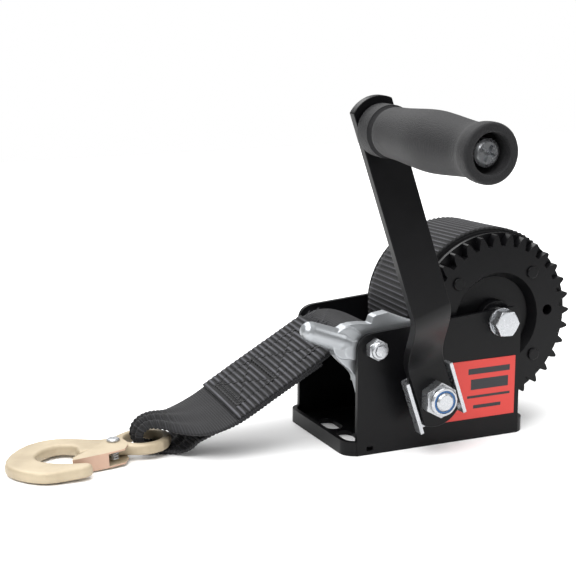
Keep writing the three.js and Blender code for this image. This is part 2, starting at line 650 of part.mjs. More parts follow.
/** Outline of bowl, shank and eye, with the bowl's gap on the near side. */
function hookOutline() {
  return smoothOutline([
    [-222, 9.6], [-215.2, 24], [-203.6, 33.6], [-191, 35.4], [-181.7, 31.3], [-174, 25.8], [-167, 21.6],
    [-160, 23.8], [-154, 27.2], [-147.5, 28.7], [-138.4, 25.6], [-132.6, 14.5], [-138.4, 3.4],
    [-147.5, 0.3], [-154, 1.8], [-160, 5.2], [-167, 7.6], [-176, 7.4], [-184, 9.2], [-183.4, 17],
    [-190, 22.8], [-198.3, 20.6], [-204.2, 15], [-205.4, 8.6], [-202, 2], [-195.2, -3.4],
    [-188.2, -6.6], [-183.6, -9], [-183.2, -13], [-186.6, -15.4], [-194, -15.6], [-206, -14.6],
    [-214.4, -8.6], [-220, 0],
  ], 72);
}

/** The opening of the eye, wider towards both faces so that the bar is rounded. */
function eyeTool() {
  const flare = (r, z) => new THREE.Vector2(r, z);
  const profile = [
    flare(0, -1), flare(11, -1), flare(9.7, 1), flare(9.2, 3), flare(9.7, 5), flare(11, 7), flare(0, 7),
  ];
  const g = new THREE.LatheGeometry(profile, 32).rotateX(Math.PI / 2).scale(1.04, 1, 1);
  return solid(g.translate(HOOK.x, HOOK.y, 0));
}

function hook() {
  const body = forged(hookOutline(), 0, HOOK.thick, 1.6, 9);
  const g = new THREE.CylinderGeometry(2.1, 2.1, 20, 24).rotateX(Math.PI / 2);
  return onFloor(cut(body, eyeTool(), solid(g.translate(LATCH_PIN.x, LATCH_PIN.y, 3))));
}

/** Latch seen from above: round at the rivet, straight along the gate. */
function latchPlan() {
  return outline([
    [-191, -5.4], [-172, -4], [-163, -2.4], [-159.6, 3], [-158.6, 9], [-160, 14.6], [-163.6, 17.2],
    [-168, 16.4], [-173, 10], [-180, 5], [-190, -1.6],
  ]);
}

/** Sheet channel: a flange above and one below the shank, joined along the gate. */
function latch() {
  const z0 = -LATCH_SHEET - 0.2;
  const z1 = HOOK.thick + LATCH_SHEET + 0.2;
  const plan = latchPlan();
  const lower = slabZ(plan, z0, z0 + LATCH_SHEET);
  const upper = slabZ(plan, z1 - LATCH_SHEET, z1);
  const web = slabZ(outline([[-191, -5.4], [-172, -4], [-172, -3.1], [-191, -4.5]]), z0, z1);
  const g = new THREE.CylinderGeometry(2.1, 2.1, 20, 24).rotateX(Math.PI / 2);
  return onFloor(cut(union(lower, upper, web), solid(g.translate(LATCH_PIN.x, LATCH_PIN.y, 3))));
}

/** Rivet through latch and shank, with a flat head on top and a low one below. */
function latchRivet() {
  const low = -LATCH_SHEET - 0.25;
  const top = HOOK.thick + LATCH_SHEET + 0.25;
  const profile = [
    [0, low - 0.8], [3, low - 0.8], [3.2, low], [1.9, low], [1.9, top], [3.4, top], [3.4, top + 0.9],
    [2.6, top + 1.5], [0, top + 1.5],
  ];
  const points = profile.map(([r, z]) => new THREE.Vector2(r, z));
  const g = new THREE.LatheGeometry(points, 24).rotateX(Math.PI / 2);
  return onFloor(solid(g.translate(LATCH_PIN.x, LATCH_PIN.y, 0)));
}

/** Small coil that pushes the latch against the hook's point. */
function latchSpring() {
  const [turns, per, r] = [3, 8, 2];
  const points = [];
  for (let i = 0; i <= turns * per; i++) {
    const a = (2 * Math.PI * i) / per;
    points.push([-167.4 + r * Math.cos(a), 1.6 + r * Math.sin(a), 0.8 + 0.17 * i]);
  }
  points.push([-170, 4.6, 5.1], [-174, 5.4, 5.1]);
  return onFloor(tube(points, 0.4, 44, 6));
}

add("hook", hook(), YELLOW_ZINC);
add("hook_latch", latch(), YELLOW_ZINC);
add("latch_rivet", latchRivet(), ZINC);
add("latch_spring", latchSpring(), STEEL_BARE);

export default winch;
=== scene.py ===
"""Boat trailer winch with a wound webbing strap and a snap hook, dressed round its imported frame."""
import math

import bmesh
import bpy
from mathutils import Matrix, Vector, noise


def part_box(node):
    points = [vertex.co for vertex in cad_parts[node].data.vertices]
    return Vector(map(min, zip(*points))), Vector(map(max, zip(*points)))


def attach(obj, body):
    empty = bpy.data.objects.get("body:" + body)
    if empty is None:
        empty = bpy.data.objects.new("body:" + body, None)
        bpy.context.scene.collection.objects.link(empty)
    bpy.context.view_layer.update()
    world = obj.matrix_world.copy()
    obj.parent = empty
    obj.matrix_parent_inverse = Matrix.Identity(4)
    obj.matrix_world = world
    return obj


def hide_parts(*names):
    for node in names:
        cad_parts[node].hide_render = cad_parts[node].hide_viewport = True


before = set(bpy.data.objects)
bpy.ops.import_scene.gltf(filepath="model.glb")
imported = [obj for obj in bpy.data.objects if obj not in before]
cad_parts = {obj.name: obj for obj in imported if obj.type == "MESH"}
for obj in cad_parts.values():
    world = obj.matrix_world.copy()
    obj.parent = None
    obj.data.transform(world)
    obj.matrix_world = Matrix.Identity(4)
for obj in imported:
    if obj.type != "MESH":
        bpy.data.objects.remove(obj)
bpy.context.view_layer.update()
MM = 0.001

# ---- camera and studio ---------------------------------------------------------
# A plain pale table top with a large soft light on either side and one behind.
# The camera stands in front of the crank, a little to the strap's side and above.

CAMERA_AT = Vector((-375.6, -671.3, 250.0)) * MM
CAMERA_AZIMUTH, CAMERA_ELEVATION = math.radians(-24.373), math.radians(12.682)
LENS = 90.4  # millimetres on a 36 mm sensor


def linear(hexadecimal):
    """An sRGB colour written as hex digits, as linear RGBA."""
    channels = [int(hexadecimal[i:i + 2], 16) / 255 for i in (0, 2, 4)]
    return [c / 12.92 if c <= 0.04045 else ((c + 0.055) / 1.055) ** 2.4 for c in channels] + [1.0]


def node(tree, kind, links=None, **settings):
    """Adds a shader node. Names in settings are its sockets or its own properties."""
    made = tree.nodes.new(kind)
    for key, value in settings.items():
        socket = key.replace("_", " ") if not hasattr(made, key) else None
        if socket is None:
            setattr(made, key, value)
        else:
            made.inputs[socket].default_value = value
    for key, output in (links or {}).items():
        tree.links.new(output, made.inputs[key])
    return made


def new_material(name, **settings):
    """A principled material, its tree and its shader, with the shader's own values set."""
    made = bpy.data.materials.new(name)
    made.use_nodes = True
    shader = made.node_tree.nodes["Principled BSDF"]
    for key, value in settings.items():
        shader.inputs[key.replace("_", " ")].default_value = value
    return made, made.node_tree, shader


camera_data = bpy.data.cameras.new("camera")
camera_data.lens = LENS
camera_data.sensor_width = 36
camera = bpy.data.objects.new("camera", camera_data)
bpy.context.scene.collection.objects.link(camera)
camera.location = CAMERA_AT
camera.rotation_euler = (math.pi / 2 - CAMERA_ELEVATION, 0, CAMERA_AZIMUTH)
camera.data.clip_end = 20
bpy.context.scene.camera = camera
bpy.context.scene.view_settings.view_transform = "Standard"

# The room is white to the eye, lights the winch more gently, and is dark below the table.
world = bpy.data.worlds.new("studio")
world.use_nodes = True
ray = node(world.node_tree, "ShaderNodeLightPath")
sky = node(world.node_tree, "ShaderNodeTexCoord").outputs["Generated"]
rise = node(world.node_tree, "ShaderNodeSeparateXYZ", {"Vector": sky}).outputs["Z"]
tent = node(world.node_tree, "ShaderNodeMapRange", {"Value": rise},
            From_Min=-0.05, From_Max=0.35, To_Min=0.05, To_Max=0.55)
strength = node(world.node_tree, "ShaderNodeMapRange", {
    "Value": ray.outputs["Is Camera Ray"], "To Min": tent.outputs["Result"]}, To_Max=1.0)
backdrop = world.node_tree.nodes["Background"]
backdrop.inputs["Color"].default_value = linear("ffffff")
world.node_tree.links.new(strength.outputs["Result"], backdrop.inputs["Strength"])
bpy.context.scene.world = world

floor_bm = bmesh.new()
bmesh.ops.create_grid(floor_bm, x_segments=1, y_segments=1, size=0.8,
                      matrix=Matrix.Translation((0.1, 0.35, 0)))
floor_mesh = bpy.data.meshes.new("table_top")
floor_bm.to_mesh(floor_mesh)
floor_bm.free()
floor = bpy.data.objects.new("table_top", floor_mesh)
bpy.context.scene.collection.objects.link(floor)
floor_material, _, _ = new_material("matt_white_table", Base_Color=linear("ffffff"), Roughness=0.9)
floor_mesh.materials.append(floor_material)

SOFTBOXES = [  # place in metres, width, power
    ((-1.0, -0.7, 1.5), 1.1, 20),
    ((1.3, -1.0, 0.9), 0.8, 7),
    ((-0.2, 1.3, 1.6), 1.5, 26),
]
for place, width, power in SOFTBOXES:
    light_data = bpy.data.lights.new("softbox", "AREA")
    light_data.size = width
    light_data.energy = power
    light = bpy.data.objects.new("softbox", light_data)
    bpy.context.scene.collection.objects.link(light)
    light.location = place
    light.rotation_euler = (Vector((0, 0, 0.08)) - light.location).to_track_quat("-Z", "Y").to_euler()

overhead_data = bpy.data.lights.new("overhead_tent", "SUN")
overhead_data.energy = 2.0
overhead_data.angle = math.radians(70)
overhead = bpy.data.objects.new("overhead_tent", overhead_data)
bpy.context.scene.collection.objects.link(overhead)
overhead.rotation_euler = (math.radians(18), math.radians(-14), 0)

# ---- painted steel: frame, gear, flanges, barrel, rivets, collar, crank arm ------
# Pressed and laser-cut steel with a semi-gloss black powder coat, baked on. The coat
# gives a faint orange peel and shines unevenly.


def object_place(tree):
    """The piece's own coordinates, in metres."""
    return node(tree, "ShaderNodeTexCoord").outputs["Object"]


def speckle(tree, place, scale, detail=2.0):
    """Soft random values from 0 to 1, with scale lumps to the metre."""
    return node(tree, "ShaderNodeTexNoise", {"Vector": place}, Scale=scale, Detail=detail).outputs["Fac"]


def two_tone(tree, shader, factor, first, second):
    """Blends the base colour from the first hex colour to the second."""
    tint = node(tree, "ShaderNodeMix", {"Factor": factor}, data_type="RGBA")
    tint.inputs["A"].default_value = linear(first)
    tint.inputs["B"].default_value = linear(second)
    tree.links.new(tint.outputs["Result"], shader.inputs["Base Color"])


def uneven_shine(tree, shader, factor, least, most):
    """Roughness that drifts from least to most."""
    rough = node(tree, "ShaderNodeMapRange", {"Value": factor}, To_Min=least, To_Max=most)
    tree.links.new(rough.outputs["Result"], shader.inputs["Roughness"])


def relief(tree, shader, height, strength, depth):
    """A surface texture depth metres deep."""
    bump = node(tree, "ShaderNodeBump", {"Height": height}, Strength=strength, Distance=depth)
    tree.links.new(bump.outputs["Normal"], shader.inputs["Normal"])


def dress(name, material, edge=0.3, segments=2):
    """Gives a metal node its finish, with its sharp edges broken by edge millimetres."""
    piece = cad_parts[name]
    piece.data.materials.clear()
    piece.data.materials.append(material)
    piece.data.polygons.foreach_set("use_smooth", [True] * len(piece.data.polygons))
    weld = piece.modifiers.new("weld", "WELD")
    weld.merge_threshold = 0.002 * MM
    flat = piece.modifiers.new("flat_faces", "DECIMATE")
    flat.decimate_type = "DISSOLVE"
    flat.angle_limit = math.radians(0.6)
    broken = piece.modifiers.new("broken_edges", "BEVEL")
    broken.width = edge * MM
    broken.segments = segments
    broken.limit_method = "ANGLE"
    broken.angle_limit = math.radians(32)
    level = piece.modifiers.new("level_faces", "WEIGHTED_NORMAL")
    level.mode = "FACE_AREA"
    level.weight = 100
    return piece


paint, tree, shader = new_material("semi_gloss_black_powder_coat", IOR=1.5,
                                   Specular_IOR_Level=0.17)
place = object_place(tree)
cloud = speckle(tree, place, 45.0, 3.0)
two_tone(tree, shader, cloud, "050506", "0e0e10")
uneven_shine(tree, shader, cloud, 0.28, 0.42)
relief(tree, shader, speckle(tree, place, 700.0), 0.08, 0.12 * MM)

dress("frame", paint, edge=0.5, segments=3)
dress("crank_arm", paint, edge=0.6, segments=3)
for name in ("drum_gear", "drum_flange_near", "drum_flange_far", "drum_barrel", "shaft_collar",
             "drum_rivet_1", "drum_rivet_2", "drum_rivet_3", "drum_rivet_4"):
    dress(name, paint, edge=0.25)

# ---- label -----------------------------------------------------------------------
# A vinyl sticker on the frame's near side, printed with plain dark bars on red.

RED, INK = "c8372f", "1a1b20"
film, tree, shader = new_material("printed_red_vinyl", Roughness=0.45)
parts = node(tree, "ShaderNodeSeparateXYZ", {"Vector": object_place(tree)})


def within(output, middle, half):
    """1 where a coordinate lies within half of middle, else 0."""
    made = node(tree, "ShaderNodeMath", {0: output}, operation="COMPARE")
    made.inputs[1].default_value = middle
    made.inputs[2].default_value = half
    return made.outputs["Value"]


def together(tree, a, b, operation):
    """Two values combined by one operation."""
    return node(tree, "ShaderNodeMath", {0: a, 1: b}, operation=operation).outputs["Value"]


BARS = [  # height of the middle, half height, middle across, half length, as shares of the label
    (0.81, 0.05, 0.62, 0.30),
    (0.585, 0.09, 0.63, 0.27),
    (0.375, 0.022, 0.62, 0.31),
    (0.20, 0.03, 0.6, 0.2),
]
low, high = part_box("label")
size = high - low
bars = []
for height, half_height, middle, half_length in BARS:
    across = within(parts.outputs["X"], low.x + middle * size.x, half_length * size.x)
    up = within(parts.outputs["Z"], low.z + height * size.z, half_height * size.z)
    bars.append(together(tree, across, up, "MULTIPLY"))
ink = bars[0]
for bar in bars[1:]:
    ink = together(tree, ink, bar, "MAXIMUM")
two_tone(tree, shader, ink, RED, INK)
dress("label", film, edge=0.1, segments=1)

# ---- plated fasteners --------------------------------------------------------------
# Cold-headed steel bolts, nuts, washers and the bent clip, bright zinc plated: a
# pale, slightly blue metal whose crystals blur its highlights unevenly.

zinc, tree, shader = new_material("bright_zinc_plate", Metallic=0.88, Base_Color=linear("b6b8bb"))
spangle = speckle(tree, object_place(tree), 420.0, 4.0)
uneven_shine(tree, shader, spangle, 0.2, 0.36)
relief(tree, shader, spangle, 0.06, 0.05 * MM)
for name in ("spool_bolt", "spool_nut", "spool_washer_near", "spool_washer_far", "crank_nut", "crank_shaft",
             "arm_clip", "grip_bolt", "grip_nut", "pawl_bolt", "pawl_nut", "latch_rivet", "latch_spring"):
    dress(name, zinc, edge=0.2)

# ---- turned steel ----------------------------------------------------------------------
# Spacers, bushes, pins and the pinion are turned or broached from plain bar and oiled.
# The pawl's spring, of oiled wire, has the same grey.

turned, tree, shader = new_material("turned_steel", Metallic=1.0, Base_Color=linear("8b8b8d"))
stretch = node(tree, "ShaderNodeMapping", {"Vector": object_place(tree)}, Scale=(60, 1800, 60))
lines = speckle(tree, stretch.outputs["Vector"], 1.0)
uneven_shine(tree, shader, lines, 0.25, 0.5)
relief(tree, shader, lines, 0.15, 0.1 * MM)
for name in ("spool_spacer", "strap_pin", "bush_near", "bush_far", "pinion", "shaft_circlip", "grip_sleeve",
             "pawl_spacer", "pawl_spring"):
    dress(name, turned, edge=0.15)

# ---- nylon ring of the crank nut -----------------------------------------------------
# The blue ring that stops the nut from shaking loose, pressed into its collar.

nylon, tree, shader = new_material("blue_nylon", Base_Color=linear("2f5f94"), Roughness=0.4)
relief(tree, shader, speckle(tree, object_place(tree), 900.0), 0.1, 0.1 * MM)
dress("crank_nut_insert", nylon, edge=0.1)

# ---- grip ----------------------------------------------------------------------------
# Moulded rubber sleeve that turns on a bolt: a collar and a groove next to the arm,
# a swelling for the palm, and a flared, hollow outer end. Matt, with a fine spark grain.


def new_piece(name, bm, material, body, smooth=True):
    """Makes the bmesh a piece that rides on a body."""
    mesh = bpy.data.meshes.new(name)
    bm.to_mesh(mesh)
    bm.free()
    if smooth:
        mesh.polygons.foreach_set("use_smooth", [True] * len(mesh.polygons))
    mesh.materials.append(material)
    piece = bpy.data.objects.new(name, mesh)
    bpy.context.scene.collection.objects.link(piece)
    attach(piece, body)
    return piece


def spun(profile, centre, axis, steps):
    """A closed surface turned from (radius, place along the axis) points in millimetres."""
    bm = bmesh.new()
    side = Vector((1, 0, 0)) if abs(axis.y) > 0.5 else Vector((0, 1, 0))
    verts = [bm.verts.new(centre + (side * r + axis * along) * MM) for r, along in profile]
    edges = [bm.edges.new(pair) for pair in zip(verts, verts[1:])]
    if (verts[0].co - verts[-1].co).length > 1e-7:
        edges.append(bm.edges.new((verts[-1], verts[0])))
    bmesh.ops.spin(bm, geom=verts + edges, cent=centre, axis=axis, dvec=(0, 0, 0), angle=2 * math.pi,
                   steps=steps, use_merge=True, use_duplicate=False)
    bmesh.ops.remove_doubles(bm, verts=bm.verts, dist=1e-7)
    bmesh.ops.recalc_face_normals(bm, faces=bm.faces)
    return bm


def softened(points, per):
    """Points of a smooth curve through the given ones."""
    out = []
    for i in range(len(points) - 1):
        p0, p1, p2, p3 = (points[max(0, min(len(points) - 1, i + k))] for k in (-1, 0, 1, 2))
        for j in range(per):
            t = j / per
            out.append(tuple(0.5 * (2 * b + (c - a) * t + (2 * a - 5 * b + 4 * c - d) * t * t
                                    + (3 * b - a - 3 * c + d) * t ** 3)
                             for a, b, c, d in zip(p0, p1, p2, p3)))
    return out + [tuple(points[-1])]


rubber, tree, shader = new_material("moulded_black_rubber", Roughness=0.68, IOR=1.4, Sheen_Weight=0.12,
                                    Sheen_Roughness=0.4)
place = object_place(tree)
two_tone(tree, shader, speckle(tree, place, 90.0, 4.0), "111113", "1b1b1d")
relief(tree, shader, speckle(tree, place, 1500.0), 0.8, 0.4 * MM)

low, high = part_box("grip")
grip_axis = Vector(((low.x + high.x) / 2, 0, (low.z + high.z) / 2))
inner, outer = high.y / MM, low.y / MM
body_line = softened([
    (11.7, inner), (12.25, inner - 0.5), (12.4, inner - 1.3), (12.4, inner - 9.2), (12.2, inner - 9.8),
    (11.1, inner - 10.4), (10.8, inner - 11), (10.8, inner - 11.8), (11.5, inner - 13.2), (11.8, inner - 16),
    (12.1, inner - 24), (12.8, inner - 34), (13.5, inner - 44), (13.7, inner - 52), (13.3, inner - 60),
    (12.5, inner - 70), (11.9, inner - 78), (11.8, inner - 82), (12.1, inner - 86), (12.7, inner - 89),
    (12.95, inner - 92), (12.9, outer + 1.4), (12.5, outer + 0.4), (11.9, outer + 0.05), (11.0, outer),
    (9.9, outer), (9.1, outer + 0.25), (8.8, outer + 0.9)], 4)
bore_line = [(8.8, outer + 9.9), (6.35, outer + 10), (6.35, inner)]
grip = new_piece("moulded_grip", spun(body_line + bore_line, grip_axis, Vector((0, 1, 0)), 96), rubber,
                 "grip")
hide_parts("grip")

# ---- wound strap -----------------------------------------------------------------------
# Polyester webbing 50 mm wide, woven with raised ribs across its width and wound in
# some twenty turns on the drum. The coarse face is outside, so each rib catches light, and a painted
# highlight runs along each rib's crown.

RIB = 3.0 * MM
YARN = 0.9 * MM
TURN = 1.4 * MM  # the roll grows by this much in radius with each turn
CORE = 17.3 * MM  # radius of the innermost turn
HOLLOW = 0.3 * MM  # how far a turn's edges lie behind its middle
CROWN_ROWS = 14
RIB_STEPS = 5  # points round the roll for each rib
RIB_RISE = 0.64 * MM  # from valley to crown on the roll
UNEVEN = 0.35 * MM  # how far the turns bulge in and out


def webbing(name, dark, light, rib):
    """Woven polyester: dull yarns with a slight sheen, and a painted highlight along the crown of each rib.
    """
    made, tree, shader = new_material(name, Roughness=0.7, Sheen_Weight=0.06, Sheen_Roughness=0.3,
                                      Specular_IOR_Level=0.35)
    uv = node(tree, "ShaderNodeTexCoord").outputs["UV"]
    split = node(tree, "ShaderNodeSeparateXYZ", {"Vector": uv})

    def wave(output, pitch, operation):
        """A sine or cosine that repeats every pitch metres."""
        turned = node(tree, "ShaderNodeMath", {0: output}, operation="MULTIPLY")
        turned.inputs[1].default_value = 2 * math.pi / pitch
        swing = node(tree, "ShaderNodeMath", {0: turned.outputs["Value"]}, operation=operation)
        return swing.outputs["Value"]

    weft = wave(split.outputs["Y"], YARN, "SINE")
    crown = wave(split.outputs["X"], rib, "COSINE")
    # A painted highlight along the crown of each rib, broken up by soft noise, blends the base colour from
    # dark to light.
    lit = node(tree, "ShaderNodeMapRange", {"Value": crown}, From_Min=0.6, From_Max=1.0, To_Max=1.7)
    painted_crown_highlight = together(tree, lit.outputs["Result"], speckle(tree, uv, 60.0, 3.0), "MULTIPLY")
    two_tone(tree, shader, painted_crown_highlight, dark, light)
    weave = together(tree, weft, speckle(tree, uv, 2600.0, 3.0), "ADD")
    relief(tree, shader, weave, 0.4, 0.15 * MM)
    return made


coarse = webbing("coarse_ribbed_webbing", "0b0b0d", "4c4c51", RIB)
low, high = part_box("strap_roll")
spool = Vector(((low.x + high.x) / 2, 0, (low.z + high.z) / 2))
roll_r = (high.x - low.x) / 2 - 0.15 * MM
far_r = roll_r - 2.2 * MM  # the turns pile up a little higher next to the gear
turns = int((roll_r - CORE) / TURN)
near_y, far_y = low.y, high.y
ribs = round(2 * math.pi * roll_r / RIB)
outline = []
for i in range(turns):
    for part, sunk in ((0.12, HOLLOW), (0.5, 0.0), (0.88, HOLLOW)):
        outline.append((CORE + (i + part) * TURN, near_y + sunk))
crown_line = [(roll_r, near_y + (far_y - near_y) * (0.012 + 0.976 * k / CROWN_ROWS))
              for k in range(CROWN_ROWS + 1)]
profile = outline + crown_line + [(r, near_y + far_y - y) for r, y in reversed(outline)]
bm = spun([(r / MM, y / MM) for r, y in profile], spool, Vector((0, 1, 0)), ribs * RIB_STEPS)


def angle_of(vert):
    """The direction of a point of the roll, seen along its axle."""
    return math.atan2(vert.co.z - spool.z, vert.co.x - spool.x)


uv_layer = bm.loops.layers.uv.new("cloth")
for face in bm.faces:
    angles = [angle_of(loop.vert) for loop in face.loops]
    if max(angles) - min(angles) > math.pi:
        angles = [a + 2 * math.pi if a < 0 else a for a in angles]
    # The turns' edges get a UV between two crowns, so they carry none of the painted rib highlight.
    side = abs(face.normal.y) > 0.7  # the turns' edges show no ribs
    for loop, a in zip(face.loops, angles):
        loop[uv_layer].uv = (RIB / 2 if side else a * ribs * RIB / (2 * math.pi), loop.vert.co.y)
for vert in bm.verts:
    off = vert.co - spool
    off.y = 0
    a = angle_of(vert)
    wobble = UNEVEN * noise.noise(Vector((math.cos(a) * 2, math.sin(a) * 2, vert.co.y * 30)))
    depth = max(0.0, min(1.0, (off.length - CORE) / (roll_r - CORE)))
    grow = wobble * depth
    if off.length > roll_r - 0.8 * TURN:
        grow += RIB_RISE / 2 * (math.cos(a * ribs) - 1)
    grow -= (roll_r - far_r) * depth * (vert.co.y - near_y) / (far_y - near_y)
    vert.co += off.normalized() * grow
roll = new_piece("wound_strap", bm, coarse, "drum")
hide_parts("strap_roll")

# ---- strap's free end --------------------------------------------------------------------
# The strap leaves the drum at the front, lies over the pawl's spacer tube, runs down to
# the hook, is gathered through its eye and returns underneath. A second layer is sewn
# on top with two crossed boxes of dark thread.

WIDTH = 50 * MM
CLOTH = 1.4 * MM
FINE_RIB, FINE_RISE = 1.3 * MM, 0.16 * MM  # pitch and height of the ribs on the main layer,
LOOP_RIB, LOOP_RISE = 2.2 * MM, 0.5 * MM  # and where it loops through the eye
LOOP_BLEND = 12 * MM
SELVEDGE = 0.04  # share of the width that thins towards each woven edge
SELVEDGE_SINK = 0.2 * MM
PLEATS, PLEAT_RISE = 3.0, 1.7 * MM  # folds across the strap where it is gathered
STEP = 0.42 * MM  # the sheets' points along the strap
STATION_COUNT = 1500

ROUTE = [  # x, z, middle y, width, arch, drop of the near edge, in millimetres
    (10.0, 22.2, 3, 50, 0, 0), (1.0, 29.4, 3, 50, 0, 0), (-6.0, 37.6, 3, 50, 0, 0),
    (-10.2, 46.0, 3, 50, 0, 0), (-13.8, 52.4, 3, 50, 0, 0), (-18.8, 56.4, 3, 50, 0, 0),
    (-26, 60.2, 3, 50, 0, 0), (-33.5, 62.6, 3, 50, 0, 0), (-41.5, 62.8, 3, 50, 0, 0),
    (-47.2, 60.9, 3, 50, 0, 0.9), (-52.5, 58.6, 3, 50, 0, 2.4), (-59, 55.3, 3, 50, 0.2, 3.8),
    (-69.5, 49.6, 3, 50, 0.4, 4.4), (-87.3, 39.5, 3.5, 50, 0.5, 4.4), (-104.8, 29.4, 4, 50, 0.7, 4.4),
    (-114, 24.4, 5, 49, 1.2, 4), (-122, 21.6, 6.6, 46, 2, 3.4), (-129, 20.4, 8.8, 40, 2.8, 2.6),
    (-135.5, 20.0, 11, 31, 3, 1.8), (-142, 19.7, 13.2, 22, 2.6, 0.8), (-147.6, 18.0, 14.3, 16.5, 2, 0),
    (-151.3, 14.4, 14.5, 14.5, 1.2, 0), (-152, 9.8, 14.5, 14, 0.8, 0), (-149.6, 5.6, 14.5, 14, 0.6, 0),
    (-145, 3, 14.5, 14.5, 0.6, 0), (-139.6, 1.9, 14.2, 16.5, 0.5, 0), (-135.2, 1.8, 13.4, 20, 0.4, 0),
    (-131, 2.8, 12, 26, 0.2, 0), (-128, 6.0, 10.6, 31, 0, 0.4), (-125.8, 10.8, 9.2, 35.5, 0, 1.2),
    (-123, 15.0, 7.6, 40, 0, 2.2), (-118.4, 19.7, 6, 45, 0, 3.2), (-112, 23.6, 4.8, 48.5, 0, 4),
    (-106, 26.9, 4.2, 50, 0, 4.3), (-98, 31.4, 3.8, 50, 0, 4.4), (-87.3, 37.6, 3.5, 50, 0, 4.4),
    (-69.5, 47.7, 3, 50, 0, 4.4), (-62, 51.6, 3, 50, 0, 4.2),
]
route = [tuple(c * MM for c in row) for row in softened(ROUTE, 14)]
path = [Vector((x, 0, z)) for x, z, *_ in route]
travel = [0.0]
for a, b in zip(path, path[1:]):
    travel.append(travel[-1] + (b - a).length)


def station(s):
    """The route's row and its upward normal at a distance s along the strap."""
    s = max(0.0, min(travel[-1] - 1e-9, s))
    i = max(k for k in range(len(travel) - 1) if travel[k] <= s)
    t = (s - travel[i]) / (travel[i + 1] - travel[i])
    row = [a + (b - a) * t for a, b in zip(route[i], route[i + 1])]
    ahead = path[i + 1] - path[i]
    before = path[i] - path[i - 1] if i else ahead
    along = (before.normalized() * (1 - t) + ahead.normalized() * (1 + t)).normalized()
    return row, Vector((along.z, 0, -along.x))


STATIONS = [station(travel[-1] * k / STATION_COUNT) for k in range(STATION_COUNT + 1)]


def on_strap(s, across, lift):
    """A point at s along, across from -0.5 (near edge) to 0.5, lift above the middle of the cloth."""
    place = STATION_COUNT * s / travel[-1]
    i = max(0, min(STATION_COUNT - 1, int(place)))
    t = min(1.0, max(0.0, place - i))
    (r0, n0), (r1, n1) = STATIONS[i], STATIONS[i + 1]
    x, z, middle, width, arch, drop = [a + (b - a) * t for a, b in zip(r0, r1)]
    normal = (n0 * (1 - t) + n1 * t).normalized()
    gathered = 1 - width / WIDTH
    pleat = gathered * PLEAT_RISE * math.cos(across * 2 * math.pi * PLEATS + 0.6)
    sink = arch * (2 * across) ** 2
    point = Vector((x, middle + width * across, z - drop * (0.5 - across)))
    return point + normal * (lift + pleat - sink)


def s_at_x(x):
    """The distance along the strap at which its first run passes x, in millimetres."""
    return next(travel[i] for i in range(len(route)) if route[i][0] <= x * MM)


LOOP_START, SEWN_END, SEWN_START = s_at_x(-126), s_at_x(-108), s_at_x(-50)


def ribbed(s, pitch, height):
    """The height of round ribs at a distance s along the strap."""
    return height * (0.5 + 0.5 * math.cos(2 * math.pi * s / pitch))


def cloth_strip(s0, s1, columns, shape):
    """A sheet along the strap from s0 to s1 with UVs in metres; shape gives each point's lift."""
    bm = bmesh.new()
    rows = round((s1 - s0) / STEP)
    bmesh.ops.create_grid(bm, x_segments=rows, y_segments=columns, size=0.5)
    uv_layer = bm.loops.layers.uv.new("cloth")
    for face in bm.faces:
        for loop in face.loops:
            loop[uv_layer].uv = (s0 + (s1 - s0) * (loop.vert.co.x + 0.5), WIDTH * loop.vert.co.y)
    for vert in bm.verts:
        s, across = s0 + (s1 - s0) * (vert.co.x + 0.5), vert.co.y
        vert.co = on_strap(s, across, shape(s, across))
    return bm


def selvedge(across):
    """0 over most of the width, rising to 1 at the woven edges."""
    return max(0.0, abs(across) - 0.5 + SELVEDGE) / SELVEDGE


def main_lift(s, across):
    """The main layer's own relief: fine ribs that grow coarser round the loop."""
    loop = max(0.0, min(1.0, (s - LOOP_START) / LOOP_BLEND))
    ribs = ribbed(s, FINE_RIB, FINE_RISE) * (1 - loop) + ribbed(s, LOOP_RIB, LOOP_RISE) * loop
    return ribs - SELVEDGE_SINK * selvedge(across)


def thicken(sheet):
    """Gives a sheet its cloth's thickness, half to either side."""
    thick = sheet.modifiers.new("cloth_thickness", "SOLIDIFY")
    thick.thickness = CLOTH - 0.1 * MM
    thick.offset = 0


fine = webbing("fine_ribbed_webbing", "0d0d0f", "2b2b2f", FINE_RIB)
bm = cloth_strip(0.0, travel[-1], 34, main_lift)
strap = new_piece("strap_free_end", bm, fine, "base")
thicken(strap)
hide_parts("strap_tail")

# Crossed boxes of stitches, with dense rows over the sewn end and where the boxes meet.
SEWN = SEWN_END - SEWN_START
SEWN_RISE = 0.75 * MM  # height of the coarse ribs
SEAM_HALF = 1.1 * MM  # half the width that a seam draws down
SEAM_SINK = 0.55 * MM
EDGE = 0.31  # how far across the boxes reach, as a share of the width
MIDDLE = 0.42 * SEWN
seams = []
for s0, s1 in [(SEWN_END - 4 * MM, SEWN_END - MIDDLE), (SEWN_END - MIDDLE, SEWN_START + 9 * MM)]:
    corners = [(s0, -EDGE), (s0, EDGE), (s1, EDGE), (s1, -EDGE)]
    seams += list(zip(corners, corners[1:] + corners[:1]))
    seams += [(corners[0], corners[2]), (corners[1], corners[3])]
for s0 in (SEWN_END - 5.6 * MM, SEWN_END - 7.2 * MM, SEWN_END - MIDDLE - 1.6 * MM):
    seams.append(((s0, -EDGE), (s0, EDGE)))


def seam_depth(s, across):
    """1 on a seam, falling to 0 about a millimetre away."""
    here = Vector((s, across * WIDTH))
    best = 1.0
    for (sa, ca), (sb, cb) in seams:
        a, b = Vector((sa, ca * WIDTH)), Vector((sb, cb * WIDTH))
        t = max(0.0, min(1.0, (here - a).dot(b - a) / (b - a).length_squared))
        best = min(best, (here - a - (b - a) * t).length / SEAM_HALF)
    return max(0.0, 1 - best * best)


